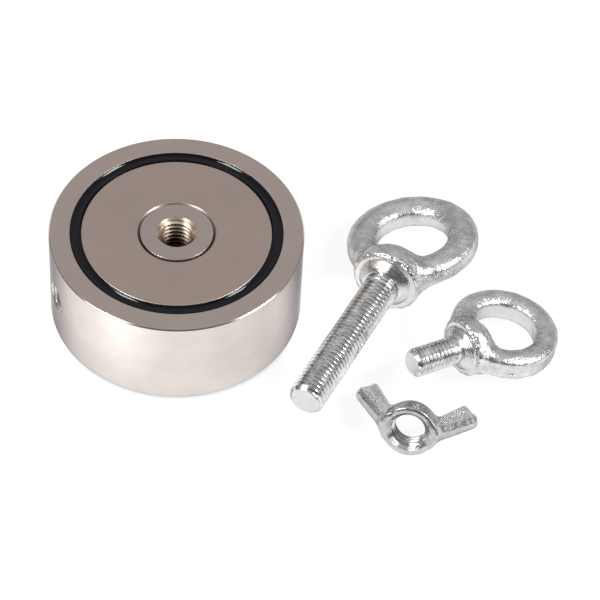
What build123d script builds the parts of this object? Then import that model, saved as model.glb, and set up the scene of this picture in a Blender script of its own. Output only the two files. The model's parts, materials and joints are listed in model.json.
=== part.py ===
from build123d import *
import os
from math import cos, radians, sin

# Double-sided magnet fishing magnet with its loose fittings: a long eyebolt, a short
# eyebolt and a wing nut. Millimetres. The origin is the centre of the magnet's lower
# face, +Z is up through its threaded centre, and the fittings lie on the same table.

# Steel pot: one turned piece, a ring with a web across its middle
POT_RADIUS = 35.0
POT_WALL = 5.75
POT_HEIGHT = 29.0
WEB_THICKNESS = 9.0
POT_EDGE_BEVEL = 0.4
CENTRE_HEIGHT = POT_HEIGHT / 2
BORE_RADIUS = POT_RADIUS - POT_WALL
WEB_TOP = CENTRE_HEIGHT + WEB_THICKNESS / 2

# Ring magnets, the glue films behind them and the potting around them
MAGNET_RADIUS = 26.2
MAGNET_SET_BACK = 0.2
MAGNET_OUTER_BEVEL = 0.35
MAGNET_INNER_BEVEL = 0.6
GLUE_FILM = 0.15
POTTING_SET_BACK = 0.5
MAGNET_THICKNESS = POT_HEIGHT - MAGNET_SET_BACK - WEB_TOP - GLUE_FILM
POTTING_THICKNESS = POT_HEIGHT - POTTING_SET_BACK - WEB_TOP

# Centre bush with an M10 thread right through, modelled at its minor diameter
BUSH_RADIUS = 10.2
BUSH_SET_BACK = 0.1
BUSH_BEVEL = 0.25
M10_MINOR_RADIUS = 4.25
M10_COUNTERSINK_RADIUS = 5.55

# Side hole with an M8 thread, blind, drilled through the wall into the web
M8_MINOR_RADIUS = 3.4
M8_COUNTERSINK_RADIUS = 4.7
SIDE_HOLE_DEPTH = 14.0
SIDE_HOLE_HEADING = 203.5

# Eyebolts: X runs from the collar's seat towards the eye, Y lies across the eye
LONG_BOLT = {
    "thread_radius": 5.0,
    "shank_length": 53.0,
    "tip_bevel": 1.1,
    "neck_radius": 1.0,
    "collar_radius": 9.75,
    "collar_thickness": 5.2,
    "saddle_reach": 10.7,
    "eye_distance": 19.2,
    "eye_radius": 14.35,
    "wire_half_width": 4.25,
    "wire_half_height": 3.85,
    "wire_half_land": 1.9,
}
SHORT_BOLT = {
    "thread_radius": 4.0,
    "shank_length": 16.4,
    "tip_bevel": 0.9,
    "neck_radius": 0.8,
    "collar_radius": 7.95,
    "collar_thickness": 4.3,
    "saddle_reach": 8.5,
    "eye_distance": 15.0,
    "eye_radius": 12.0,
    "wire_half_width": 3.1,
    "wire_half_height": 3.8,
    "wire_half_land": 2.4,
}
COLLAR_BEVEL = 0.6
SADDLE_FLAT_RADIUS = 2.0

# Wing nut: X runs from its base along the thread, Y lies along the wings
HUB_BASE_RADIUS = 7.7
HUB_TOP_RADIUS = 6.5
HUB_HEIGHT = 6.4
NUT_BORE_RADIUS = 4.35
NUT_BASE_COUNTERSINK = 1.7
NUT_TOP_COUNTERSINK = 1.3
WING_HALF_THICKNESS = 2.2
WING_DRAFT = 8
WING_TIP_ROUND = 1.4

# Where each fitting lies: the seat's place, then heading, pitch and roll in degrees
LONG_BOLT_SEAT = (58.2, 2.4)
LONG_BOLT_TURN = (-12.7, 6.7, 67.1)
SHORT_BOLT_SEAT = (79.5, -18.5)
SHORT_BOLT_TURN = (-1.7, 10.9, 34.7)
WING_NUT_SEAT = (66.0, -48.3)
WING_NUT_TURN = (1.8, 20.8, 78.7)


def laid_on_table(piece, seat, turn):
    """Turn a piece about its own origin, then stand its lowest point on the table at the given place."""
    turned = piece.moved(Location((0, 0, 0), turn, Extrinsic.XYZ))
    lowest = turned.bounding_box().min.Z
    return turned.moved(Location((seat[0], seat[1], -lowest)))


def ring_magnet(bottom, beveled_end):
    """One flat ring magnet, with its visible end bevelled at both rims."""
    with BuildPart() as magnet:
        with BuildSketch(Plane.XY.offset(bottom)):
            Circle(MAGNET_RADIUS)
            Circle(BUSH_RADIUS, mode=Mode.SUBTRACT)
        extrude(amount=MAGNET_THICKNESS)
        end_face = magnet.faces().filter_by(Axis.Z).sort_by(Axis.Z)[beveled_end]
        rims = end_face.edges().sort_by(SortBy.RADIUS)
        chamfer(rims[-1], MAGNET_OUTER_BEVEL)
        end_face = magnet.faces().filter_by(Axis.Z).sort_by(Axis.Z)[beveled_end]
        chamfer(end_face.edges().sort_by(SortBy.RADIUS)[0], MAGNET_INNER_BEVEL)
    return magnet.part


def flat_ring(bottom, inner_radius, outer_radius, thickness):
    """A plain flat ring, such as a film of glue or a ring of potting."""
    with BuildPart() as ring:
        with BuildSketch(Plane.XY.offset(bottom)):
            Circle(outer_radius)
            Circle(inner_radius, mode=Mode.SUBTRACT)
        extrude(amount=thickness)
    return ring.part


def eyebolt(size):
    """A forged eyebolt: a turned shank and round collar, a saddle, and a ring with flat inner and outer lands."""
    thread = size["thread_radius"]
    length = size["shank_length"]
    bevel = size["tip_bevel"]
    neck = size["neck_radius"]
    collar = size["collar_radius"]
    collar_end = size["collar_thickness"]
    reach = size["saddle_reach"]
    eye_x = size["eye_distance"]
    half_width = size["wire_half_width"]
    land = size["wire_half_land"]
    crown = size["wire_half_height"] - land
    section_x = eye_x + size["eye_radius"]
    saddle_start = (collar_end, 0.95 * collar)
    saddle_shoulder = (0.6 * reach + 0.4 * collar_end, 0.74 * collar)
    saddle_crown = (reach, SADDLE_FLAT_RADIUS)
    with BuildPart() as bolt:
        with BuildSketch(Plane.XY):
            with BuildLine():
                Polyline(saddle_crown, (reach, 0), (-length, 0), (-length, thread - bevel))
                Polyline((-length, thread - bevel), (bevel - length, thread), (-neck, thread))
                RadiusArc((-neck, thread), (0, thread + neck), neck)
                Polyline((0, thread + neck), (0, collar - COLLAR_BEVEL), (COLLAR_BEVEL, collar))
                Polyline((COLLAR_BEVEL, collar), (collar_end - COLLAR_BEVEL, collar), saddle_start)
                ThreePointArc(saddle_start, saddle_shoulder, saddle_crown)
            make_face()
        revolve(axis=Axis.X)
        with BuildSketch(Plane.XZ):
            with BuildLine():
                Line((section_x + half_width, -land), (section_x + half_width, land))
                EllipticalCenterArc((section_x, land), half_width, crown, start_angle=0, arc_size=180)
                Line((section_x - half_width, land), (section_x - half_width, -land))
                EllipticalCenterArc((section_x, -land), half_width, crown, start_angle=180, arc_size=180)
            make_face()
        revolve(axis=Axis((eye_x, 0, 0), (0, 0, 1)))
    return bolt.part


# --- The magnet -------------------------------------------------------------------------

with BuildPart() as steel_pot:
    with BuildSketch():
        Circle(POT_RADIUS)
    extrude(amount=POT_HEIGHT)
    chamfer(steel_pot.edges().filter_by(GeomType.CIRCLE), POT_EDGE_BEVEL)
    with BuildSketch(Plane.XY.offset(WEB_TOP)):
        Circle(BORE_RADIUS)
    extrude(amount=POT_HEIGHT - WEB_TOP, mode=Mode.SUBTRACT)
    with BuildSketch():
        Circle(BORE_RADIUS)
    extrude(amount=POT_HEIGHT - WEB_TOP, mode=Mode.SUBTRACT)
    with BuildSketch():
        Circle(BUSH_RADIUS)
    extrude(amount=POT_HEIGHT, mode=Mode.SUBTRACT)
    side_outward = Vector(cos(radians(SIDE_HOLE_HEADING)), sin(radians(SIDE_HOLE_HEADING)), 0)
    side_mouth = Plane(origin=side_outward * POT_RADIUS + Vector(0, 0, CENTRE_HEIGHT), z_dir=side_outward)
    with Locations(side_mouth):
        CounterSinkHole(M8_MINOR_RADIUS, M8_COUNTERSINK_RADIUS, SIDE_HOLE_DEPTH, 90)
steel_pot.part.label = "steel_pot"

with BuildPart() as centre_bush:
    with BuildSketch(Plane.XY.offset(BUSH_SET_BACK)):
        Circle(BUSH_RADIUS)
    extrude(amount=POT_HEIGHT - 2 * BUSH_SET_BACK)
    chamfer(centre_bush.edges().filter_by(GeomType.CIRCLE), BUSH_BEVEL)
    with BuildSketch(Plane.XZ) as bore_profile:
        with BuildLine():
            lead_in = M10_COUNTERSINK_RADIUS - M10_MINOR_RADIUS
            low = BUSH_SET_BACK
            high = POT_HEIGHT - BUSH_SET_BACK
            Polyline(
                (0, low),
                (M10_COUNTERSINK_RADIUS, low),
                (M10_MINOR_RADIUS, low + lead_in),
                (M10_MINOR_RADIUS, high - lead_in),
                (M10_COUNTERSINK_RADIUS, high),
                (0, high),
                close=True,
            )
        make_face()
    revolve(axis=Axis.Z, mode=Mode.SUBTRACT)
centre_bush.part.label = "centre_bush"

with BuildPart() as upper_magnet:
    add(ring_magnet(WEB_TOP + GLUE_FILM, -1))
upper_magnet.part.label = "upper_magnet"

with BuildPart() as lower_magnet:
    add(ring_magnet(MAGNET_SET_BACK, 0))
lower_magnet.part.label = "lower_magnet"

with BuildPart() as upper_glue_film:
    add(flat_ring(WEB_TOP, BUSH_RADIUS, MAGNET_RADIUS, GLUE_FILM))
upper_glue_film.part.label = "upper_glue_film"

with BuildPart() as lower_glue_film:
    add(flat_ring(POT_HEIGHT - WEB_TOP - GLUE_FILM, BUSH_RADIUS, MAGNET_RADIUS, GLUE_FILM))
lower_glue_film.part.label = "lower_glue_film"

with BuildPart() as upper_potting:
    add(flat_ring(WEB_TOP, MAGNET_RADIUS, BORE_RADIUS, POTTING_THICKNESS))
upper_potting.part.label = "upper_potting"

with BuildPart() as lower_potting:
    add(flat_ring(POTTING_SET_BACK, MAGNET_RADIUS, BORE_RADIUS, POTTING_THICKNESS))
lower_potting.part.label = "lower_potting"

# --- The fittings -----------------------------------------------------------------------

with BuildPart() as long_eyebolt:
    add(laid_on_table(eyebolt(LONG_BOLT), LONG_BOLT_SEAT, LONG_BOLT_TURN))
long_eyebolt.part.label = "long_eyebolt"

with BuildPart() as short_eyebolt:
    add(laid_on_table(eyebolt(SHORT_BOLT), SHORT_BOLT_SEAT, SHORT_BOLT_TURN))
short_eyebolt.part.label = "short_eyebolt"

with BuildPart() as upright_nut:
    with BuildSketch(Plane.XY):
        with BuildLine():
            Polyline(
                (0, 0),
                (0, HUB_BASE_RADIUS - 0.5),
                (0.5, HUB_BASE_RADIUS),
                (HUB_HEIGHT - 0.4, HUB_TOP_RADIUS),
                (HUB_HEIGHT, HUB_TOP_RADIUS - 0.4),
                (HUB_HEIGHT, 0),
                close=True,
            )
        make_face()
    revolve(axis=Axis.X)
    with BuildSketch(Plane.XY) as wing_outline:
        with BuildLine():
            Polyline((0.4, 5.2), (0.2, 7.2), (13.0, 17.2), (18.1, 12.5), (7.0, 6.0), (6.2, 5.2), close=True)
        make_face()
        tip_corners = wing_outline.vertices().sort_by(Axis.Y)[-2:]
        fillet(tip_corners, WING_TIP_ROUND)
        mirror(about=Plane.XZ)
    extrude(amount=WING_HALF_THICKNESS, taper=WING_DRAFT)
    mirror(about=Plane.XY)
    with BuildSketch(Plane.XY):
        with BuildLine():
            Polyline(
                (0, 0),
                (0, NUT_BORE_RADIUS + NUT_BASE_COUNTERSINK),
                (NUT_BASE_COUNTERSINK, NUT_BORE_RADIUS),
                (HUB_HEIGHT - NUT_TOP_COUNTERSINK, NUT_BORE_RADIUS),
                (HUB_HEIGHT, NUT_BORE_RADIUS + NUT_TOP_COUNTERSINK),
                (HUB_HEIGHT, 0),
                close=True,
            )
        make_face()
    revolve(axis=Axis.X, mode=Mode.SUBTRACT)

with BuildPart() as wing_nut:
    add(laid_on_table(upright_nut.part, WING_NUT_SEAT, WING_NUT_TURN))
wing_nut.part.label = "wing_nut"

os.makedirs("parts", exist_ok=True)
export_step(steel_pot.part, "parts/steel_pot.step")
export_step(centre_bush.part, "parts/centre_bush.step")
export_step(upper_magnet.part, "parts/upper_magnet.step")
export_step(lower_magnet.part, "parts/lower_magnet.step")
export_step(upper_glue_film.part, "parts/upper_glue_film.step")
export_step(lower_glue_film.part, "parts/lower_glue_film.step")
export_step(upper_potting.part, "parts/upper_potting.step")
export_step(lower_potting.part, "parts/lower_potting.step")
export_step(long_eyebolt.part, "parts/long_eyebolt.step")
export_step(short_eyebolt.part, "parts/short_eyebolt.step")
export_step(wing_nut.part, "parts/wing_nut.step")
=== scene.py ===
"""Looks for the magnet fishing magnet and its loose fittings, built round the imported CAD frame.

Meshes are worked out in millimetres and scaled to metres as they are made. The magnet's
pieces are made where they lie in the CAD frame. Each fitting is made in its own frame: X runs
from its seat or base along its thread's axis, towards the eye or the wings' tips. Z runs
through an eyebolt's eye, or across the faces of the nut's wings.
"""

import itertools
import json
import math

import bmesh
import bpy
import numpy as np
from mathutils import Matrix, Vector


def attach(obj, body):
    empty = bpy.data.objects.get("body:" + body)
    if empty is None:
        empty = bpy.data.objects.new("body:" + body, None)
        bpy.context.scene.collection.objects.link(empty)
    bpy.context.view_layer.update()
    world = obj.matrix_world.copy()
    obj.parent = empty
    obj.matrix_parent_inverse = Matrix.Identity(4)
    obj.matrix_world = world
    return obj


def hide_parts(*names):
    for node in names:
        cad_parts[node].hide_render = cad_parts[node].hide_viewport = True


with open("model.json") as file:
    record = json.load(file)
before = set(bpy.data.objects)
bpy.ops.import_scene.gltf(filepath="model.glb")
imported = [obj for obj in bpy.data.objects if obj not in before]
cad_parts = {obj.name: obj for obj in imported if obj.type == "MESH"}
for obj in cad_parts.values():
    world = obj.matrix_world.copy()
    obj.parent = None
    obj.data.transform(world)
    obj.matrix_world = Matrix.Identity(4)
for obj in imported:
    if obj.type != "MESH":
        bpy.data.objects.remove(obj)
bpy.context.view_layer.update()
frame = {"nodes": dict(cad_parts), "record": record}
mounts = {mount["name"]: mount for mount in frame["record"]["mounts"]}

MM = 0.001
SEGMENTS = 360
THREAD_SEGMENTS = 120
SMOOTH_ANGLE = math.radians(38)
PLACE = "place_in_piece"

# The magnet, in millimetres. A mouth is the wide end of a threaded hole's countersink.
POT_RADIUS = 35.0
POT_HEIGHT = 29.0
POT_BEVEL = 0.4
BORE_RADIUS = 29.25
WEB_LOW = 10.0
WEB_HIGH = 19.0
BUSH_RADIUS = 10.2
DISC_RADIUS = 26.2
DISC_HIGH = 28.8
DISC_BEVEL = 0.65
GLUE_THICKNESS = 0.15
EPOXY_HIGH = 28.0
EPOXY_RISE = 0.72
BUSH_HIGH = 28.9
BUSH_LOW = 0.1
RIM_GAP = 0.12
SIDE_HOLE_DEPTH = 14.0
SIDE_MOUTH_RADIUS = 4.7
BUSH_MOUTH_RADIUS = 5.55

# Threads: (pitch, root radius, crest radius)
M10_ROD = (1.5, 4.1, 5.0)
M8_ROD = (1.25, 3.25, 4.0)
M10_HOLE = (1.5, 4.25, 5.05)
M8_HOLE = (1.25, 3.4, 4.05)
# Points along one pitch of thread, as shares of it from the crest's middle. The flat crest is
# CREST_HALF wide on each side of its middle, and the flat root ROOT_HALF.
THREAD_PHASES = (0.0, 0.07, 0.17, 0.27, 0.36, 0.5, 0.64, 0.73, 0.83, 0.93)
CREST_HALF = 0.07
ROOT_HALF = 0.14

# The eyebolts, each in its own frame. The wire is the ring's section, the land is the flat
# dressed inside the ring, and the saddle is the swelling that joins the ring to the collar.
# A nick is a dent in the ring's rim, as (its angle round the eye from the X axis, its height).
FORGED_STEP = 0.36
NECK_STUB = 2.2
LONG_BOLT = {
    "thread": M10_ROD,
    "shank_length": 53.0,
    "tip_bevel": 1.1,
    "plain_neck": 3.4,
    "run_out": 3.0,
    "collar_radius": 9.75,
    "collar_thickness": 5.2,
    "collar_round": 0.7,
    "face_radius": 9.2,
    "saddle_reach": 10.7,
    "eye_distance": 19.2,
    "eye_radius": 14.35,
    "wire_half_width": 4.25,
    "wire_half_height": 3.85,
    "wire_half_land": 1.5,
    "saddle_blend": 3.6,
    "nick": None,
    "seed": 11,
}
SHORT_BOLT = {
    "thread": M8_ROD,
    "shank_length": 16.4,
    "tip_bevel": 0.9,
    "plain_neck": 3.4,
    "run_out": 0.5,
    "collar_radius": 7.95,
    "collar_thickness": 4.3,
    "collar_round": 0.6,
    "face_radius": 7.5,
    "saddle_reach": 8.5,
    "eye_distance": 15.0,
    "eye_radius": 12.0,
    "wire_half_width": 3.1,
    "wire_half_height": 3.8,
    "wire_half_land": 2.4,
    "saddle_blend": 3.0,
    "nick": (math.radians(-115), -1.2),
    "seed": 23,
}

# Wing nut, in its own frame: X from its base, Y along the wings
HUB_BASE_RADIUS = 7.7
HUB_TOP_RADIUS = 6.5
HUB_HEIGHT = 6.4
NUT_BASE_COUNTERSINK = 1.7
NUT_TOP_COUNTERSINK = 1.3
# A wing's outline, as edges of (x, y) points: along its outside, over its tip and back inside
WING_EDGES = (((0.2, 7.2), (13.0, 17.2)), ((13.0, 17.2), (18.1, 12.5)), ((18.1, 12.5), (7.0, 6.0)))
WING_HALF_THICKNESS = 2.3
WING_TAPER = 0.04
WING_TIP = 17
NUT_STEP = 0.29
# From the nut's base to the place of its thread mount
NUT_MOUNT_HEIGHT = 3.4

# The table
FLOOR_GLOW = 0.86
# The glow starts between these distances from the magnet's axis, in metres
FLOOR_GLOW_EDGE = (0.031, 0.036)
# Painted pools of light glowing on the table beside the magnet, seen as reflections in its side, in
# metres: (centre, reach, added glow)
FLOOR_LIGHT_POOLS = (
    ((-0.034, -0.052, 0), 0.037, 0.6),
    ((-0.050, -0.014, 0), 0.034, 0.5),
    ((0.043, -0.006, 0), 0.022, 0.4),
)

# The room: its greys along Y as (share of the way back, colour), and its strength low and overhead
ROOM_FRONT = (0.1, (0.15, 0.15, 0.15, 1))
ROOM_MIDDLE = (0.5, (0.38, 0.38, 0.38, 1))
ROOM_BACK = (0.9, (0.58, 0.57, 0.56, 1))
ROOM_AT_HORIZON = 0.35
ROOM_OVERHEAD = 1.7

# Lights, in metres and watts: (name, direction, distance, width and height, power)
LIT_POINT = (0.035, 0, 0)
SOFTBOX_SIZE = (0.85, 0.55)
LAMP_SIZE = (0.37, 0.30)
LIGHTS = (
    ("softbox_left", (-0.68, -0.50, 0.54), 1.5, SOFTBOX_SIZE, 2.5),
    ("softbox_right", (0.82, -0.28, 0.50), 1.5, SOFTBOX_SIZE, 2.5),
    ("lamp_left", (-0.543, -0.298, 0.785), 1.4, LAMP_SIZE, 6.5),
    ("lamp_right", (0.669, -0.162, 0.726), 1.4, LAMP_SIZE, 6.5),
)

# The camera, in metres and degrees
CAMERA_LENS = 180
CAMERA_PLACE = (0.034823, -0.539320, 0.647898)
CAMERA_DOWN = 50.089
CAMERA_ROLL = 3.533


# --- Mesh helpers ---------------------------------------------------------------------------


def mesh_object(name, points, faces, matrix=None):
    """An object from points in millimetres, smooth with sharp creases kept."""
    mesh = bpy.data.meshes.new(name)
    mesh.from_pydata((np.asarray(points, float) * MM).tolist(), [], [list(face) for face in faces])
    tidy_mesh(mesh)
    made = bpy.data.objects.new(name, mesh)
    bpy.context.scene.collection.objects.link(made)
    if matrix is not None:
        made.matrix_world = matrix
    return made


def tidy_mesh(mesh, merge=2e-7):
    """Merge doubled points, face every side outwards and shade smooth between sharp creases."""
    work = bmesh.new()
    work.from_mesh(mesh)
    bmesh.ops.remove_doubles(work, verts=work.verts, dist=merge)
    bmesh.ops.dissolve_degenerate(work, edges=work.edges, dist=merge)
    bmesh.ops.recalc_face_normals(work, faces=work.faces)
    work.to_mesh(mesh)
    work.free()
    mesh.shade_smooth()
    mesh.set_sharp_from_angle(angle=SMOOTH_ANGLE)


def rounded(corners, steps=4, guard=0.06):
    """A closed profile from (radius, height, rounding) corners, with guards beside each round."""
    profile = []
    count = len(corners)
    for index, (radius, height, rounding) in enumerate(corners):
        corner = np.array((radius, height))
        if rounding == 0:
            profile.append(corner)
            continue
        before = np.array(corners[index - 1][:2]) - corner
        after = np.array(corners[(index + 1) % count][:2]) - corner
        before /= np.linalg.norm(before)
        after /= np.linalg.norm(after)
        profile.append(corner + before * (rounding + guard))
        for step in range(steps + 1):
            share = step / steps
            start = corner + before * rounding * (1 - share)
            end = corner + after * rounding * share
            profile.append(start + (end - start) * share)
        profile.append(corner + after * (rounding + guard))
    return profile


def lathe(name, profile, segments=SEGMENTS):
    """Turn a closed profile of (radius, height) points about Z."""
    profile = np.array(profile)
    turns = np.arange(segments) * (2 * math.pi / segments)
    x = np.outer(profile[:, 0], np.cos(turns))
    y = np.outer(profile[:, 0], np.sin(turns))
    z = np.repeat(profile[:, 1], segments).reshape(x.shape)
    points = np.stack((x, y, z), -1).reshape(-1, 3)
    rows = len(profile)
    faces = []
    for row in range(rows):
        here = row * segments
        there = (row + 1) % rows * segments
        for segment in range(segments):
            beside = (segment + 1) % segments
            faces.append((here + segment, here + beside, there + beside, there + segment))
    return mesh_object(name, points, faces)


def threaded_rod(name, thread, start, end, limit, matrix=None):
    """A rod along X with a right-hand thread and closed ends; limit(x, radius) trims its radius."""
    pitch, root, crest = thread
    rise = 0.5 - CREST_HALF - ROOT_HALF
    turns = range(math.floor(start / pitch) - 2, math.ceil(end / pitch) + 2)
    phases = np.array([turn + phase for turn in turns for phase in THREAD_PHASES])
    from_crest = np.abs(phases - np.round(phases))
    depth = np.clip((from_crest - CREST_HALF) / rise, 0, 1)
    depth = (depth + 0.5 - 0.5 * np.cos(2 * math.pi * from_crest)) / 2
    radius = crest - (crest - root) * depth
    angle = np.arange(THREAD_SEGMENTS) * (2 * math.pi / THREAD_SEGMENTS)
    x = np.clip(pitch * (phases[:, None] + angle / (2 * math.pi)), start, end)
    radii = limit(x, np.repeat(radius[:, None], THREAD_SEGMENTS, 1))
    points = np.stack((x, radii * np.cos(angle), radii * np.sin(angle)), -1).reshape(-1, 3)
    rows = len(phases)
    per_turn = len(THREAD_PHASES)
    faces = []
    for row in range(rows - 1):
        for segment in range(THREAD_SEGMENTS):
            here = row * THREAD_SEGMENTS + segment
            beside = here + 1
            if segment == THREAD_SEGMENTS - 1:
                beside = (row + per_turn) * THREAD_SEGMENTS
            if beside + THREAD_SEGMENTS < rows * THREAD_SEGMENTS:
                faces.append((here, beside, beside + THREAD_SEGMENTS, here + THREAD_SEGMENTS))
    centres = np.array(((start, 0, 0), (end, 0, 0)))
    for side, row in enumerate((per_turn, rows - per_turn - 1)):
        ring = row * THREAD_SEGMENTS
        for segment in range(THREAD_SEGMENTS):
            beside = (segment + 1) % THREAD_SEGMENTS
            faces.append((len(points) + side, ring + segment, ring + beside))
    return mesh_object(name, np.vstack((points, centres)), faces, matrix)


def carve(target, cutter, operation="DIFFERENCE"):
    """Take the cutter out of the target, or join it on, and drop the cutter."""
    modifier = target.modifiers.new("carve", "BOOLEAN")
    modifier.operation = operation
    modifier.solver = "EXACT"
    modifier.object = cutter
    bpy.context.view_layer.update()
    evaluated = target.evaluated_get(bpy.context.evaluated_depsgraph_get())
    mesh = bpy.data.meshes.new_from_object(evaluated)
    target.modifiers.clear()
    target.data = mesh
    bpy.data.objects.remove(cutter)
    tidy_mesh(mesh, 1e-6)


# --- Distance fields, for the forged shapes -------------------------------------------------


def smooth_union(a, b, blend):
    """Join two distance fields with a fillet."""
    near = np.maximum(blend - np.abs(a - b), 0) / blend
    return np.minimum(a, b) - near * near * blend / 4


def smooth_cut(a, b, blend):
    """What is inside both fields, with the edge rounded."""
    return -smooth_union(-a, -b, blend)


def lumps(points, size, seed):
    """Smooth random heights from -1 to 1, with lumps of the given size."""
    lattice = np.random.default_rng(seed).uniform(-1, 1, (24, 24, 24))
    cell = points / size
    base = np.floor(cell).astype(int)
    part = cell - base
    part = part * part * (3 - 2 * part)
    total = np.zeros(len(points))
    for corner in itertools.product((0, 1), repeat=3):
        weight = np.prod(np.where(corner, part, 1 - part), axis=1)
        total += weight * lattice[tuple(((base + corner) % 24).T)]
    return total


def field_mesh(name, field, low, high, step):
    """The surface where field(points) is 0, by surface nets, then drawn onto the surface."""
    axes = [np.arange(a, b + step, step) for a, b in zip(low, high)]
    grid = np.stack(np.meshgrid(*axes, indexing="ij"), -1)
    values = field(grid.reshape(-1, 3)).reshape(grid.shape[:3])
    cells = tuple(length - 1 for length in values.shape)
    total = np.zeros(cells + (3,))
    count = np.zeros(cells)
    crossings = []
    for axis in range(3):
        others = [other for other in range(3) if other != axis]
        first = np.take(values, range(cells[axis]), axis)
        second = np.take(values, range(1, cells[axis] + 1), axis)
        crossing = (first < 0) != (second < 0)
        share = np.where(crossing, first / np.where(crossing, first - second, 1), 0)
        place = np.take(grid, range(cells[axis]), axis).copy()
        place[..., axis] += share * step
        place *= crossing[..., None]
        for offset in itertools.product((0, 1), repeat=2):
            window = [slice(None)] * 3
            for other, shift in zip(others, offset):
                window[other] = slice(shift, shift + cells[other])
            total += place[tuple(window)]
            count += crossing[tuple(window)]
        crossings.append((axis, others, crossing, first < 0))
    used = count > 0
    number = np.full(cells, -1)
    number[used] = np.arange(used.sum())
    points = total[used] / count[used][:, None]
    faces = []
    for axis, others, crossing, starts_inside in crossings:
        where = np.argwhere(crossing)
        for other in others:
            where = where[(where[:, other] > 0) & (where[:, other] < cells[other])]
        step_one = np.eye(3, dtype=int)[others[0]]
        step_two = np.eye(3, dtype=int)[others[1]]
        ring = [where - step_one - step_two, where - step_two, where, where - step_one]
        quads = np.stack([number[tuple(corner.T)] for corner in ring], -1)
        flip = starts_inside[tuple(where.T)] ^ (axis == 1)
        quads[flip] = quads[flip][:, ::-1]
        faces.extend(quads.tolist())
    for _ in range(3):
        points = drawn_on(points, field, step)
    return mesh_object(name, points, faces)


def drawn_on(points, field, step):
    """Move points along the field's gradient towards its surface."""
    height = field(points)
    nudge = 0.02
    gradient = np.zeros_like(points)
    for axis in range(3):
        shift = np.zeros(3)
        shift[axis] = nudge
        gradient[:, axis] = (field(points + shift) - field(points - shift)) / (2 * nudge)
    size = np.maximum((gradient**2).sum(1), 0.05)
    move = gradient * (height / size)[:, None]
    length = np.linalg.norm(move, axis=1)
    move *= np.minimum(1, 0.6 * step / np.maximum(length, 1e-9))[:, None]
    return points - move


# --- Node helpers ---------------------------------------------------------------------------


def new_material(name):
    """A fresh material with its tree and its one shader."""
    material = bpy.data.materials.new(name)
    material.use_nodes = True
    return material, material.node_tree, material.node_tree.nodes["Principled BSDF"]


def add_node(tree, kind, inputs=None, **settings):
    """Add a shader node; inputs are plain values or sockets to link."""
    made = tree.nodes.new("ShaderNode" + kind)
    for name, value in settings.items():
        setattr(made, name, value)
    for name, value in (inputs or {}).items():
        if isinstance(value, bpy.types.NodeSocket):
            tree.links.new(value, made.inputs[name])
        else:
            made.inputs[name].default_value = value
    return made


def piece_space(tree, scale=(1, 1, 1)):
    """The piece's own coordinates in millimetres, stretched by scale."""
    coordinates = add_node(tree, "Attribute", attribute_name=PLACE).outputs["Vector"]
    scaled = add_node(tree, "VectorMath", {0: coordinates}, operation="MULTIPLY")
    scaled.inputs[1].default_value = [1000 * part for part in scale]
    return scaled.outputs[0]


def noise(tree, vector, scale, detail=3.0, roughness=0.5):
    """Noise with the given number of lumps per millimetre."""
    made = add_node(tree, "TexNoise", {"Vector": vector, "Scale": scale, "Detail": detail})
    made.inputs["Roughness"].default_value = roughness
    return made.outputs["Fac"]


def spread(tree, value, low, high, from_low=0.3, from_high=0.7, curve="LINEAR"):
    """Map a value onto a range, from the middle of a noise's range if no other is given."""
    made = add_node(tree, "MapRange", {"Value": value}, interpolation_type=curve)
    made.inputs["From Min"].default_value = from_low
    made.inputs["From Max"].default_value = from_high
    made.inputs["To Min"].default_value = low
    made.inputs["To Max"].default_value = high
    return made.outputs[0]


def two_tone(tree, value, dark, light):
    """A colour that wanders between two as a noise does."""
    made = add_node(tree, "Mix", data_type="RGBA")
    tree.links.new(spread(tree, value, 0, 1), made.inputs["Factor"])
    made.inputs[6].default_value = (*dark, 1)
    made.inputs[7].default_value = (*light, 1)
    return made.outputs[2]


def calculated(tree, operation, first, second=0.0):
    """The result of one sum on sockets or numbers."""
    return add_node(tree, "Math", {0: first, 1: second}, operation=operation).outputs[0]


def bump(tree, height, depth, normal=None):
    """Bump of the given depth in millimetres, on top of any earlier bump."""
    made = add_node(tree, "Bump", {"Height": height, "Distance": depth * MM})
    if normal is not None:
        tree.links.new(normal, made.inputs["Normal"])
    return made.outputs[0]


def radius_from_axis(tree, axis):
    """Distance in millimetres from the piece's X or Z axis, as a socket."""
    flat = {"X": (0, 1, 1), "Z": (1, 1, 0)}[axis]
    made = add_node(tree, "VectorMath", {0: piece_space(tree, flat)}, operation="LENGTH")
    return made.outputs["Value"]


def turning_marks(tree, axis, per_mm, depth, normal=None):
    """Fine uneven rings left by a lathe tool, round the piece's X or Z axis."""
    inputs = {"W": radius_from_axis(tree, axis), "Scale": per_mm, "Detail": 2.0}
    made = add_node(tree, "TexNoise", inputs, noise_dimensions="1D")
    return bump(tree, made.outputs["Fac"], depth, normal)


def feed(tree, shader, colour, roughness, normal=None):
    """Link the shader's colour, roughness and normal."""
    tree.links.new(colour, shader.inputs["Base Color"])
    tree.links.new(roughness, shader.inputs["Roughness"])
    if normal is not None:
        tree.links.new(normal, shader.inputs["Normal"])


# --- Materials ------------------------------------------------------------------------------

ZINC = (0.80, 0.80, 0.80)
# Edge tints of grey rather than white darken the metals' reflections at grazing angles: painted shade
# along their rims and silhouettes
NICKEL_EDGE_SHADE = (0.30, 0.30, 0.32, 1)
ZINC_EDGE_SHADE = (0.40, 0.40, 0.42, 1)
# Warm brown painted in as shade deep inside the magnet's threaded bore
DEEP_SHADE_BROWN = (0.05, 0.03, 0.02, 1)


def toned(colour, amount):
    """A colour made lighter or darker."""
    return tuple(min(1.0, part * amount) for part in colour)


def metal_material(name, edge_tint, patches):
    """A bare metal, and a noise of the given (scale, detail, roughness) for its patches."""
    material, tree, shader = new_material(name)
    space = piece_space(tree)
    shader.inputs["Metallic"].default_value = 1.0
    shader.inputs["Specular Tint"].default_value = edge_tint
    return material, tree, shader, space, noise(tree, space, *patches)


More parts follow.
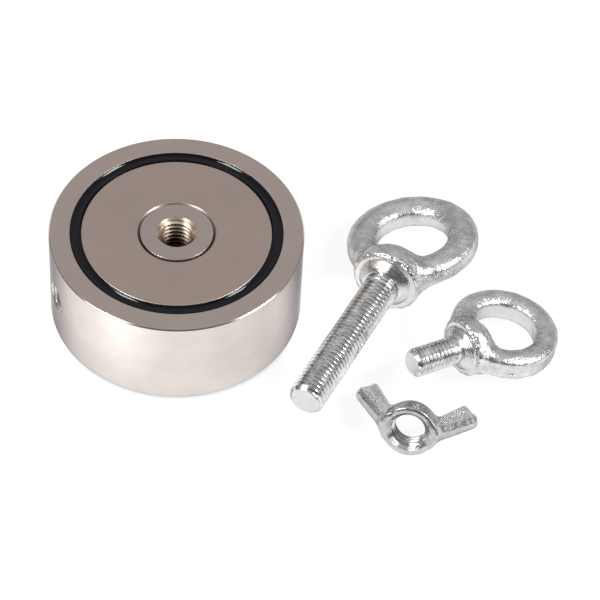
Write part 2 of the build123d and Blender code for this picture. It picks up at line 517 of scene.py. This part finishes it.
def nickel_material(name, roughness, grain, tint, marks=None, patch=0.03):
    """Satin nickel plating: soft patches, fine grain, and turning marks if asked for."""
    material, tree, shader, space, patches = metal_material(name, NICKEL_EDGE_SHADE, (0.09, 4.0, 0.6))
    colour = two_tone(tree, patches, toned(tint, 1 - patch), toned(tint, 1 + patch))
    fine = noise(tree, space, 2.6, 2.0, 0.6)
    normal = bump(tree, fine, grain)
    if marks:
        normal = turning_marks(tree, "Z", marks[0], marks[1], normal)
    feed(tree, shader, colour, spread(tree, fine, roughness * 0.85, roughness * 1.15), normal)
    return material


def epoxy_material():
    """Glossy blue-black cast epoxy with a slightly wavy skin."""
    material, tree, shader = new_material("black_epoxy_cast")
    space = piece_space(tree)
    cloud = noise(tree, space, 0.25, 3.0)
    colour = two_tone(tree, cloud, (0.001, 0.0015, 0.004), (0.002, 0.003, 0.009))
    shader.inputs["IOR"].default_value = 1.38
    waves = bump(tree, noise(tree, space, 0.5, 2.0), 0.015)
    feed(tree, shader, colour, spread(tree, cloud, 0.05, 0.09), waves)
    return material


def adhesive_material():
    """Cured amber adhesive in the thin joint behind each magnet."""
    material, tree, shader = new_material("cured_adhesive")
    cloud = noise(tree, add_node(tree, "TexCoord").outputs["Object"], 400.0, 3.0)
    colour = two_tone(tree, cloud, (0.42, 0.33, 0.15), (0.6, 0.5, 0.27))
    feed(tree, shader, colour, spread(tree, cloud, 0.3, 0.5))
    return material


def zinc_material(name, roughness, coarse, fine, contrast=0.12, tint=ZINC):
    """Bright zinc plating over a rough surface: patchy gloss, lumps and fine pits."""
    material, tree, shader, space, patches = metal_material(name, ZINC_EDGE_SHADE, (0.35, 5.0, 0.65))
    colour = two_tone(tree, patches, toned(tint, 1 - contrast), toned(tint, 1 + contrast / 2))
    sparkle = noise(tree, space, 1.6, 4.0, 0.6)
    normal = bump(tree, noise(tree, space, 0.7, 3.0, 0.5), coarse)
    normal = bump(tree, noise(tree, space, 2.4, 3.0, 0.6), fine, normal)
    feed(tree, shader, colour, spread(tree, sparkle, roughness * 0.6, roughness * 1.4), normal)
    return material


def machined_zinc_material(name):
    """Zinc over a turned face: rings round the X axis, evenly glossy."""
    material, tree, shader, space, patches = metal_material(name, ZINC_EDGE_SHADE, (0.5, 4.0, 0.6))
    colour = two_tone(tree, patches, toned(ZINC, 0.86), ZINC)
    grain = bump(tree, noise(tree, space, 2.0, 2.0), 0.015)
    normal = turning_marks(tree, "X", 2.2, 0.05, grain)
    feed(tree, shader, colour, spread(tree, patches, 0.2, 0.32), normal)
    return material


def ground_zinc_material(name, stretch, tint=ZINC):
    """Zinc over a face dressed on a belt: fine straight scratches, stretched by the given scale."""
    material, tree, shader, space, patches = metal_material(name, ZINC_EDGE_SHADE, (0.4, 4.0, 0.6))
    colour = two_tone(tree, patches, toned(tint, 0.84), tint)
    waves = bump(tree, noise(tree, space, 0.5, 3.0), 0.06)
    normal = bump(tree, noise(tree, piece_space(tree, stretch), 1.6, 3.0, 0.6), 0.06, waves)
    feed(tree, shader, colour, spread(tree, patches, 0.2, 0.36), normal)
    return material


def thread_material(name, tint, roughness, shade_deep_inside=False):
    """A cut or rolled thread: glossy flanks with fine tool marks and a little staining."""
    material, tree, shader, space, stain = metal_material(name, ZINC_EDGE_SHADE, (0.45, 4.0, 0.6))
    colour = two_tone(tree, stain, toned(tint, 0.68), toned(tint, 1.12))
    # Painted shade: the colour turns dark brown towards the middle of the magnet's height, deep in
    # the bore
    if shade_deep_inside:
        colour = darker_inside(tree, space, colour)
    normal = bump(tree, noise(tree, space, 2.2, 3.0, 0.6), 0.006)
    feed(tree, shader, colour, spread(tree, stain, roughness * 0.7, roughness * 1.3), normal)
    return material


def darker_inside(tree, space, colour):
    """The colour darkened to a warm brown towards the middle of the magnet's height: painted shade
    deep inside the threaded bore.
    """
    height = add_node(tree, "SeparateXYZ", {0: space}).outputs["Z"]
    from_middle = calculated(tree, "ABSOLUTE", calculated(tree, "SUBTRACT", height, POT_HEIGHT / 2))
    made = add_node(tree, "Mix", data_type="RGBA")
    tree.links.new(spread(tree, from_middle, 0, 1, 5.5, 13.5), made.inputs["Factor"])
    made.inputs[6].default_value = DEEP_SHADE_BROWN
    tree.links.new(colour, made.inputs[7])
    return made.outputs[2]


# --- The magnet -----------------------------------------------------------------------------

# The nickel for the pot's top, inner and under faces, and for the discs and the bush, is tinted
# darker and browner than the pot's side: painted shade for the dim room these faces reflect
nickel_top_painted_shade = nickel_material("nickel_satin_painted_shade", 0.3, 0.0, (0.576, 0.483, 0.452))
nickel_disc = nickel_material("nickel_disc", 0.33, 0.0006, (0.54, 0.443, 0.4))
nickel_side = nickel_material("nickel_side", 0.15, 0.0004, (0.74, 0.68, 0.64), patch=0.06)
nickel_bush = nickel_material("nickel_bush_turned", 0.28, 0.0004, (0.546, 0.469, 0.446), (2.5, 0.002))
thread_brass = thread_material("thread_chromated", (0.72, 0.58, 0.46), 0.34, shade_deep_inside=True)
thread_nickel = thread_material("thread_nickel", (0.66, 0.61, 0.56), 0.28)
epoxy = epoxy_material()
adhesive = adhesive_material()


def assign(piece, materials, choose):
    """Give each face one of the materials: choose(centres, normals) returns their numbers."""
    for material in materials:
        piece.data.materials.append(material)
    polygons = piece.data.polygons
    centres = np.zeros(len(polygons) * 3)
    normals = np.zeros(len(polygons) * 3)
    polygons.foreach_get("center", centres)
    polygons.foreach_get("normal", normals)
    numbers = choose(centres.reshape(-1, 3) / MM, normals.reshape(-1, 3))
    polygons.foreach_set("material_index", np.asarray(numbers, dtype=np.int32))
    piece.data.update()


def finish_piece(piece, body, node, matrix=None):
    """Note each point's place in the piece, set it where it lies and tie it to the CAD."""
    places = np.zeros(len(piece.data.vertices) * 3, dtype=np.float32)
    piece.data.vertices.foreach_get("co", places)
    piece.data.attributes.new(PLACE, "FLOAT_VECTOR", "POINT").data.foreach_set("vector", places)
    if matrix is not None:
        piece.data.transform(matrix)
    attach(piece, body)
    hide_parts(node)


def axis_frame(origin, x_axis, z_axis):
    """A placing whose X is x_axis and whose Z is as near z_axis as can be."""
    x_axis = Vector(x_axis).normalized()
    z_axis = Vector(z_axis)
    z_axis = (z_axis - x_axis * z_axis.dot(x_axis)).normalized()
    matrix = Matrix((x_axis, z_axis.cross(x_axis), z_axis)).transposed().to_4x4()
    matrix.translation = origin
    return matrix


def make_pot():
    """The turned steel ring and web, with the threaded side hole."""
    wall_low = WEB_LOW - 0.6
    wall_high = WEB_HIGH + 0.6
    inner = POT_RADIUS - POT_BEVEL
    profile = rounded(
        [
            (BUSH_RADIUS, WEB_LOW, 0),
            (BORE_RADIUS, WEB_LOW, 0),
            (BORE_RADIUS, 0, 0.12),
            (inner, 0, 0.1),
            (POT_RADIUS, POT_BEVEL, 0.1),
            (POT_RADIUS, wall_low, 0),
            (POT_RADIUS, wall_high, 0),
            (POT_RADIUS, POT_HEIGHT - POT_BEVEL, 0.1),
            (inner, POT_HEIGHT, 0.1),
            (BORE_RADIUS, POT_HEIGHT, 0.12),
            (BORE_RADIUS, WEB_HIGH, 0),
            (BUSH_RADIUS, WEB_HIGH, 0),
        ]
    )
    pot = lathe("pot_shell", profile)
    outward = Vector(mounts["side_thread"]["axis"])
    mouth = outward * POT_RADIUS * MM
    mouth.z = mounts["side_thread"]["pos_m"][2]
    place = axis_frame(mouth - outward * SIDE_HOLE_DEPTH * MM, outward, (0, 0, 1))

    def limit(x, radius):
        return np.maximum(radius, SIDE_MOUTH_RADIUS + x - SIDE_HOLE_DEPTH)

    cutter = threaded_rod("side_cutter", M8_HOLE, 0, SIDE_HOLE_DEPTH + 1, limit, place)
    carve(pot, cutter)

    def choose(centres, normals):
        radial = np.hypot(centres[:, 0], centres[:, 1])
        on_side = (radial > POT_RADIUS - POT_BEVEL) & (np.abs(normals[:, 2]) < 0.9)
        along = centres @ np.array(outward)
        off_axis = centres - np.outer(along, outward) - (0, 0, POT_HEIGHT / 2)
        in_hole = np.linalg.norm(off_axis, axis=1) < SIDE_MOUTH_RADIUS + 0.2
        in_hole &= (along > POT_RADIUS - SIDE_HOLE_DEPTH - 0.05) & (radial < POT_RADIUS - 0.02)
        # Faces off the outer side get the darker nickel, which is painted shade
        return np.where(in_hole, 2, np.where(on_side, 1, 0))

    assign(pot, [nickel_top_painted_shade, nickel_side, thread_nickel], choose)
    finish_piece(pot, "magnet", "steel_pot")


def make_bush():
    """The centre bush with its M10 thread right through."""
    profile = rounded(
        [
            (2.0, BUSH_LOW, 0),
            (BUSH_RADIUS - RIM_GAP, BUSH_LOW, 0.2),
            (BUSH_RADIUS - RIM_GAP, BUSH_HIGH, 0.2),
            (2.0, BUSH_HIGH, 0),
        ]
    )
    bush = lathe("threaded_bush", profile, THREAD_SEGMENTS * 2)
    length = BUSH_HIGH - BUSH_LOW

    def limit(x, radius):
        radius = np.maximum(radius, BUSH_MOUTH_RADIUS + x - length)
        return np.maximum(radius, BUSH_MOUTH_RADIUS - x)

    place = axis_frame((0, 0, BUSH_LOW * MM), (0, 0, 1), (1, 0, 0))
    cutter = threaded_rod("bush_cutter", M10_HOLE, -1, length + 1, limit, place)
    carve(bush, cutter)

    def choose(centres, normals):
        return np.hypot(centres[:, 0], centres[:, 1]) < BUSH_MOUTH_RADIUS - 0.05

    assign(bush, [nickel_bush, thread_brass], choose)
    finish_piece(bush, "magnet", "centre_bush")


def make_disc(name, node, upper):
    """One ring magnet with a rounded outer rim and a bevelled inner rim."""
    corners = [
        (BUSH_RADIUS, WEB_HIGH + GLUE_THICKNESS, 0),
        (DISC_RADIUS, WEB_HIGH + GLUE_THICKNESS, 0),
        (DISC_RADIUS, DISC_HIGH, 0.4),
        (BUSH_RADIUS + DISC_BEVEL, DISC_HIGH, 0.12),
        (BUSH_RADIUS, DISC_HIGH - DISC_BEVEL, 0.1),
    ]
    disc = lathe(name, facing(corners, upper))
    assign(disc, [nickel_disc], lambda centres, normals: np.zeros(len(centres)))
    finish_piece(disc, "magnet", node)


def make_epoxy(name, node, upper):
    """The potting ring, its skin drawn up a little at both walls."""
    width = BORE_RADIUS - DISC_RADIUS
    skin = []
    for step in range(25):
        share = step / 24
        rise = EPOXY_RISE * (2 * share - 1) ** 2
        skin.append((DISC_RADIUS + width * share, EPOXY_HIGH + rise, 0))
    corners = [(BORE_RADIUS, WEB_HIGH, 0), *skin[::-1], (DISC_RADIUS, WEB_HIGH, 0)]
    ring = lathe(name, facing(corners, upper))
    assign(ring, [epoxy], lambda centres, normals: np.zeros(len(centres)))
    finish_piece(ring, "magnet", node)


def facing(corners, upper):
    """A profile for the upper side, or its mirror image for the lower side."""
    if not upper:
        corners = [(radius, POT_HEIGHT - height, rounding) for radius, height, rounding in corners]
    return rounded(corners)


def make_magnet():
    """Every piece of the magnet."""
    make_pot()
    make_bush()
    for side in ("upper", "lower"):
        make_disc(side + "_disc", side + "_magnet", side == "upper")
        make_epoxy(side + "_epoxy", side + "_potting", side == "upper")
        film = frame["nodes"][side + "_glue_film"].data
        film.materials.clear()
        film.materials.append(adhesive)


# --- The eyebolts ---------------------------------------------------------------------------

zinc_forged = zinc_material("zinc_forged", 0.28, 0.28, 0.08, contrast=0.3)
zinc_machined = machined_zinc_material("zinc_machined")
zinc_thread = thread_material("zinc_thread", toned(ZINC, 1.05), 0.22)
zinc_land = ground_zinc_material("zinc_land_ground", (1, 1, 0.1))


def disc_field(x, radial, half, radius, rounding):
    """Distance field of a disc about the X axis, with its rims rounded."""
    side = radial - (radius - rounding)
    end = np.abs(x) - (half - rounding)
    outside = np.hypot(np.maximum(side, 0), np.maximum(end, 0))
    return outside + np.minimum(np.maximum(side, end), 0) - rounding


def eyebolt_field(size):
    """Distance field of the eyebolt's collar, saddle, ring and a short stub of neck."""
    crest = size["thread"][2]
    half = size["collar_thickness"] / 2
    collar_round = size["collar_round"]
    eye_x = size["eye_distance"]
    land = size["wire_half_land"]
    wire_height = size["wire_half_height"]
    half_width = size["wire_half_width"]
    wire_width = half_width / math.sqrt(1 - (land / wire_height) ** 2)
    saddle_centre = size["collar_thickness"] * 0.75
    saddle_length = size["saddle_reach"] - saddle_centre + 0.6
    saddle_radius = size["collar_radius"] * 0.93
    seed = size["seed"]

    def field(points):
        x, y, z = points.T
        radial = np.hypot(y, z)
        collar = disc_field(x - half - 0.4, radial, half - 0.4, size["collar_radius"], collar_round)
        face = disc_field(x - half, radial, half, size["face_radius"], 0.3)
        neck = np.maximum(radial - crest, x - half)
        # The ring: an ellipse in section, dressed flat inside and outside
        across = np.hypot(x - eye_x, y) - size["eye_radius"]
        first = np.hypot(across / wire_width, z / wire_height)
        second = np.hypot(across / wire_width**2, z / wire_height**2)
        wire = first * (first - 1) / np.maximum(second, 1e-6)
        wire = smooth_cut(wire, np.abs(across) - half_width, 0.5)
        # The saddle: an egg that rises from the collar into the ring
        rise_x = (x - saddle_centre) / saddle_length
        rise_r = radial / saddle_radius
        first = np.hypot(rise_x, rise_r)
        second = np.hypot(rise_x / saddle_length, rise_r / saddle_radius)
        saddle = first * (first - 1) / np.maximum(second, 1e-6)
        body = smooth_union(collar, saddle, 0.8)
        body = smooth_union(body, wire, size["saddle_blend"])
        body += 0.12 * lumps(points, 3.4, seed) + 0.06 * lumps(points, 1.3, seed + 1)
        # A thin line of flash stands round the collar, behind its turned face
        flash = np.hypot(x - 0.85, radial - size["collar_radius"] + 0.3) - 0.4
        body = smooth_union(body, flash + 0.3 * lumps(points, 0.8, seed + 2), 0.3)
        body = smooth_union(body, face, 0.3)
        if size["nick"]:
            turn, height = size["nick"]
            outer = size["eye_radius"] + half_width
            from_nick = np.hypot(x - eye_x - outer * math.cos(turn), y - outer * math.sin(turn))
            dent = 0.9 - np.hypot(from_nick, 2.2 * (z - height)) + 0.3 * lumps(points, 0.7, 5)
            body = smooth_cut(body, dent, 0.2)
        return np.maximum(smooth_union(body, neck, 0.8), -NECK_STUB - x)

    return field


def make_eyebolt(name, node, size, matrix):
    """One eyebolt: forged head, turned collar face and threaded shank."""
    crest = size["thread"][2]
    length = size["shank_length"]
    reach = size["eye_distance"] + size["eye_radius"] + size["wire_half_width"] + 1
    half = size["eye_radius"] + size["wire_half_width"] + 1
    deep = size["collar_radius"] + 1
    low_corner = (-3.0, -half, -deep)
    head = field_mesh(name, eyebolt_field(size), low_corner, (reach, half, deep), FORGED_STEP)
    depth = crest - size["thread"][1]

    def limit(x, radius):
        shallow = np.clip((-x - size["plain_neck"]) / size["run_out"], 0, 1)
        radius = np.maximum(radius, crest - depth * shallow)
        radius = np.minimum(radius, crest - size["tip_bevel"] + x + length)
        return np.where(x > -NECK_STUB, crest - 0.03, radius)

    shank = threaded_rod(name + "_shank", size["thread"], -length, 1.0, limit)
    carve(head, shank, "UNION")

    def choose(centres, normals):
        radial = np.hypot(centres[:, 1], centres[:, 2])
        on_shank = centres[:, 0] < 0.3 - NECK_STUB
        on_face = (centres[:, 0] < 0.25) & (radial < size["face_radius"] + 0.1)
        on_tip = centres[:, 0] < -length + 0.01
        from_eye = np.hypot(centres[:, 0] - size["eye_distance"], centres[:, 1])
        inner_radius = size["eye_radius"] - size["wire_half_width"]
        on_land = (from_eye < inner_radius + 0.25) & (np.abs(normals[:, 2]) < 0.45)
        number = np.where(on_land, 3, 0)
        for chosen, value in ((on_face, 1), (on_shank, 2), (on_tip, 1)):
            number = np.where(chosen, value, number)
        return number

    assign(head, [zinc_forged, zinc_machined, zinc_thread, zinc_land], choose)
    finish_piece(head, node, node, matrix)


def eyebolt_frame(thread_mount, eye_mount, size):
    """The eyebolt's own frame, from its shank's axis and its eye."""
    x_axis = -Vector(mounts[thread_mount]["axis"]).normalized()
    origin = Vector(mounts[eye_mount]["pos_m"]) - x_axis * size["eye_distance"] * MM
    return axis_frame(origin, x_axis, mounts[eye_mount]["axis"])


# --- The wing nut ---------------------------------------------------------------------------

# The nut's broad wing faces take a zinc lighter than the rest, which is painted light, and its sides,
# hub and edges a darker one, which is painted shade; the straight scratches of the faces and the
# rough lumps of the sides are their real finishes
zinc_nut = ground_zinc_material("zinc_nut_ground_painted_light", (1, 0.12, 1), tint=(0.98, 0.98, 0.98))
zinc_nut_side_painted_shade = zinc_material("zinc_nut_side_painted_shade", 0.24, 0.1, 0.03, 0.25, toned(ZINC, 0.78))


def wing_nut_frame():
    """The nut's own frame: X from its base along the thread, Y through the wings' tips."""
    mount = mounts["wing_nut_thread"]
    x_axis = -np.array(mount["axis"])
    seat = np.array(mount["pos_m"]) - x_axis * NUT_MOUNT_HEIGHT * MM
    points = np.array([point.co for point in frame["nodes"]["wing_nut"].data.vertices]) - seat
    across = points - np.outer(points @ x_axis, x_axis)
    distance = np.linalg.norm(across, axis=1)
    tips = across[distance > distance.max() * 0.97]
    tips *= np.where(tips @ tips[0] < 0, -1, 1)[:, None]
    y_axis = tips.sum(0)
    return axis_frame(Vector(seat), Vector(x_axis), Vector(np.cross(x_axis, y_axis)))


def wing_nut_field(points):
    """Distance field of the hub and its two wings, before the thread is cut."""
    x, y, z = points.T
    radial = np.hypot(y, z)
    slope = (HUB_BASE_RADIUS - HUB_TOP_RADIUS) / HUB_HEIGHT
    hub = (radial - HUB_BASE_RADIUS + slope * x) / math.hypot(1, slope)
    hub = smooth_cut(smooth_cut(hub, x - HUB_HEIGHT, 0.7), -x, 1.4)
    side = np.abs(y)
    wing = 0.3 - x
    edges = []
    for (x1, y1), (x2, y2) in WING_EDGES:
        length = math.hypot(x2 - x1, y2 - y1)
        edges.append(((y2 - y1) * -(x - x1) + (x2 - x1) * (side - y1)) / length)
    # The outside edge is ragged, with a shallow hollow along it and a bevel on both faces
    ragged = 0.2 * lumps(points, 1.8, 31) * np.exp(-((edges[0] + 0.3) ** 2) / 0.5)
    hollow = 0.35 * np.exp(-((edges[0] + 3.4) ** 2) / 3.0)
    thickness = WING_HALF_THICKNESS + WING_TAPER * (WING_TIP - side) - hollow
    wing = smooth_cut(wing, np.abs(z) - thickness, 0.8)
    bevel = 0.77 * (edges[0] + 1.0) + 0.64 * (np.abs(z) - thickness)
    wing = smooth_cut(wing, edges[0] + ragged - 0.3, 0.5)
    wing = smooth_cut(wing, bevel + 0.3 * ragged, 0.4)
    for edge in edges[1:]:
        wing = smooth_cut(wing, edge, 1.4)
    body = smooth_cut(smooth_union(hub, wing, 2.4), -x, 0.5)
    return body + 0.05 * lumps(points, 2.8, 32) + 0.03 * lumps(points, 1.1, 33)


def make_wing_nut():
    """The wing nut with its thread cut right through."""
    nut = field_mesh("wing_nut_casting", wing_nut_field, (-1, -19, -9), (19.5, 19, 9), NUT_STEP)

    def limit(x, radius):
        radius = np.maximum(radius, M10_HOLE[1] + NUT_BASE_COUNTERSINK - x)
        return np.maximum(radius, M10_HOLE[1] + NUT_TOP_COUNTERSINK + x - HUB_HEIGHT)

    cutter = threaded_rod("nut_cutter", M10_HOLE, -1, HUB_HEIGHT + 1, limit)
    carve(nut, cutter)

    def choose(centres, normals):
        radial = np.hypot(centres[:, 1], centres[:, 2])
        in_bore = radial < M10_HOLE[2] + 0.05
        in_bore &= (centres[:, 0] > 0.02) & (centres[:, 0] < HUB_HEIGHT - 0.02)
        broad = (np.abs(normals[:, 2]) > 0.8) & (radial > HUB_BASE_RADIUS)
        # Broad wing faces get the lighter zinc, painted light; every other face the darker zinc,
        # painted shade
        return np.where(in_bore, 2, np.where(broad, 0, 1))

    assign(nut, [zinc_nut, zinc_nut_side_painted_shade, zinc_thread], choose)
    finish_piece(nut, "wing_nut", "wing_nut", wing_nut_frame())


# --- Floor, lights and camera ---------------------------------------------------------------


def make_floor():
    """A plain white table with a faint glow and painted pools of brighter glow beside the magnet; no
    glow under the magnet, where no light gets in.
    """
    half = 4000.0
    corners = [(-half, -half, 0), (half, -half, 0), (half, half, 0), (-half, half, 0)]
    floor = mesh_object("floor", corners, [(0, 1, 2, 3)])
    material, tree, shader = new_material("white_table")
    shader.inputs["Base Color"].default_value = (0.2, 0.2, 0.2, 1)
    shader.inputs["Roughness"].default_value = 0.9
    shader.inputs["Specular IOR Level"].default_value = 0.0
    shader.inputs["Emission Color"].default_value = (1, 1, 1, 1)
    place = add_node(tree, "TexCoord").outputs["Object"]
    away = add_node(tree, "VectorMath", {0: place}, operation="LENGTH").outputs["Value"]
    glow = FLOOR_GLOW
    # Painted pools of light: extra glow on the table beside the magnet
    for centre, reach, amount in FLOOR_LIGHT_POOLS:
        light_pool = add_node(tree, "VectorMath", {0: place}, operation="DISTANCE")
        light_pool.inputs[1].default_value = centre
        added = spread(tree, light_pool.outputs["Value"], amount, 0, 0, reach, "SMOOTHSTEP")
        glow = calculated(tree, "ADD", added, glow)
    open_floor = spread(tree, away, 0, 1, *FLOOR_GLOW_EDGE)
    strength = calculated(tree, "MULTIPLY", glow, open_floor)
    tree.links.new(strength, shader.inputs["Emission Strength"])
    floor.data.materials.append(material)


def make_world():
    """A soft grey room: brighter behind the object and overhead, darker at the front and low down."""
    world = bpy.data.worlds.new("room")
    world.use_nodes = True
    tree = world.node_tree
    direction = add_node(tree, "TexCoord").outputs["Generated"]
    parts = add_node(tree, "SeparateXYZ", {0: direction})
    ramp = add_node(tree, "ValToRGB")
    tree.links.new(spread(tree, parts.outputs["Y"], 0, 1, -1, 1), ramp.inputs[0])
    stops = ramp.color_ramp.elements
    stops[0].position, stops[0].color = ROOM_FRONT
    stops[1].position, stops[1].color = ROOM_BACK
    stops.new(ROOM_MIDDLE[0]).color = ROOM_MIDDLE[1]
    background = tree.nodes["Background"].inputs
    tree.links.new(ramp.outputs[0], background["Color"])
    low_down = spread(tree, parts.outputs["Z"], ROOM_AT_HORIZON, 1, 0, 0.6)
    overhead = spread(tree, parts.outputs["Z"], 1, ROOM_OVERHEAD, 0.84, 0.98)
    tree.links.new(calculated(tree, "MULTIPLY", overhead, low_down), background["Strength"])
    bpy.context.scene.world = world


def add_light(name, direction, distance, size, power):
    """A rectangular light that faces the lit point from the given direction."""
    light = bpy.data.lights.new(name, "AREA")
    light.shape = "RECTANGLE"
    light.size, light.size_y = size
    light.energy = power
    made = bpy.data.objects.new(name, light)
    direction = Vector(direction).normalized()
    made.location = Vector(LIT_POINT) + direction * distance
    made.rotation_euler = direction.to_track_quat("Z", "Y").to_euler()
    bpy.context.scene.collection.objects.link(made)


def make_lights():
    """Two wide softboxes at the front, either side of the camera, and a smaller lamp over each."""
    for light in LIGHTS:
        add_light(*light)


def make_camera():
    """A long lens that looks down on the object from the front."""
    camera = bpy.data.cameras.new("camera")
    camera.lens = CAMERA_LENS
    camera.sensor_width = 36
    camera.clip_end = 20
    made = bpy.data.objects.new("camera", camera)
    tilt = Matrix.Rotation(math.radians(90 - CAMERA_DOWN), 4, "X")
    roll = Matrix.Rotation(math.radians(CAMERA_ROLL), 4, "Z")
    made.matrix_world = Matrix.Translation(CAMERA_PLACE) @ tilt @ roll
    bpy.context.scene.collection.objects.link(made)
    bpy.context.scene.camera = made


make_camera()
make_floor()
make_world()
make_lights()
make_magnet()
for kind, size in (("long", LONG_BOLT), ("short", SHORT_BOLT)):
    place = eyebolt_frame(kind + "_bolt_thread", kind + "_bolt_eye", size)
    make_eyebolt(kind + "_bolt_forging", kind + "_eyebolt", size, place)
make_wing_nut()

bpy.context.scene.view_settings.view_transform = "Standard"
